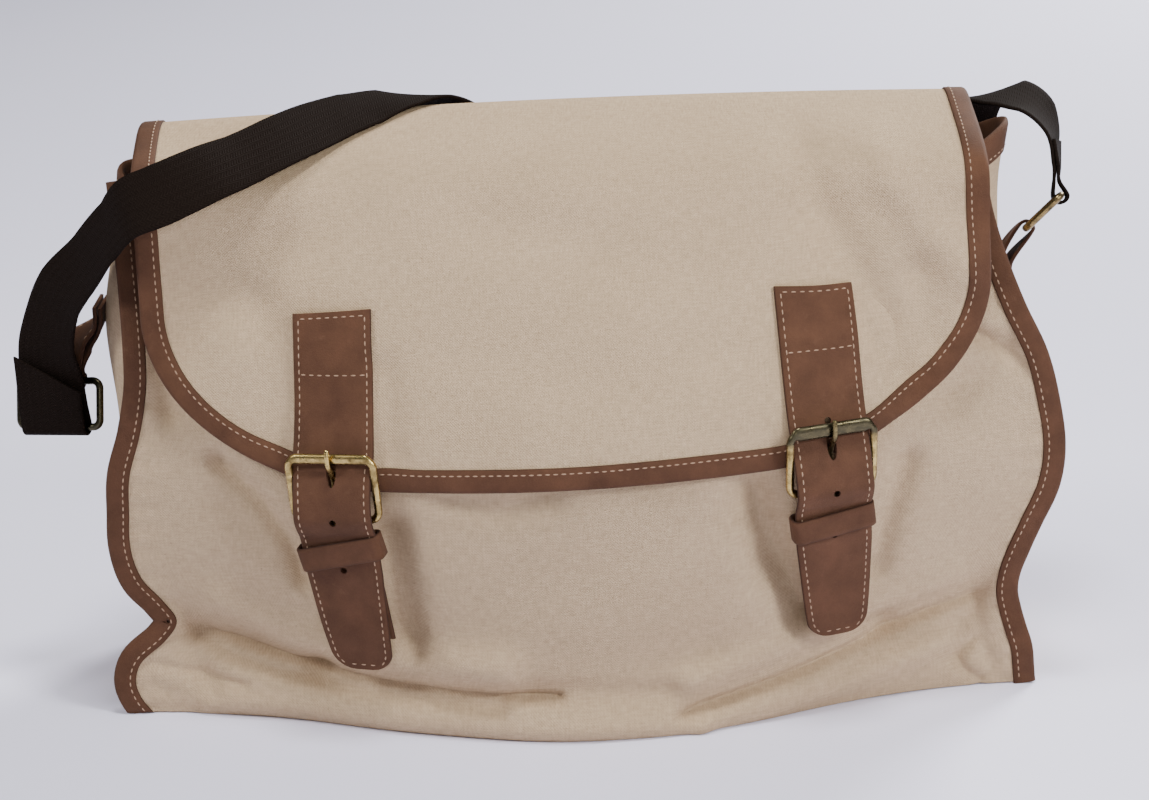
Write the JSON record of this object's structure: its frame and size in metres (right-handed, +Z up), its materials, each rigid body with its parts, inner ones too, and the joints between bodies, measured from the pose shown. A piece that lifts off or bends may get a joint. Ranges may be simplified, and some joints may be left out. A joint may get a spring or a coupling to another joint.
{
  "type": "crossbody bag",
  "caption": "Soft canvas satchel with leather-bound seams, a wide front flap closed by buckled leather straps, and a webbing shoulder strap between side rings.",
  "frame": {"origin": "on the floor, on the underside of the base panel, near the middle of the bag", "axes": "+X to the wearer's left as seen from the front (viewer's right), -Y out of the front, +Z up"},
  "size_m": [0.5657, 0.2014, 0.3169],
  "materials": {
    "canvas": "matt oatmeal canvas with fine dark flecks",
    "leather": "brown sueded leather, dull sheen, pale stitching",
    "brass": "antiqued brass, darkened in the corners",
    "webbing": "dark brown ribbed webbing, matt"
  },
  "bodies": {
    "root": {"front_panel": "canvas", "back_panel": "canvas", "base_panel": "canvas", "gusset_left": "canvas", "gusset_right": "canvas", "flap": "canvas", "seam_binding_left": "leather", "seam_binding_right": "leather", "back_binding_left": "leather", "back_binding_right": "leather", "top_binding_left": "leather", "top_binding_right": "leather", "closure_strap_left": "leather", "closure_strap_right": "leather", "buckle_tab_left": "leather", "buckle_tab_right": "leather", "keeper_left": "leather", "keeper_right": "leather", "side_tab_left": "leather", "side_tab_right": "leather", "flap_binding": "leather", "buckle_frame_left": "brass", "buckle_frame_right": "brass", "buckle_prong_left": "brass", "buckle_prong_right": "brass", "ring_left": "brass", "ring_right": "brass", "shoulder_strap": "webbing"}
  },
  "joints": []
}
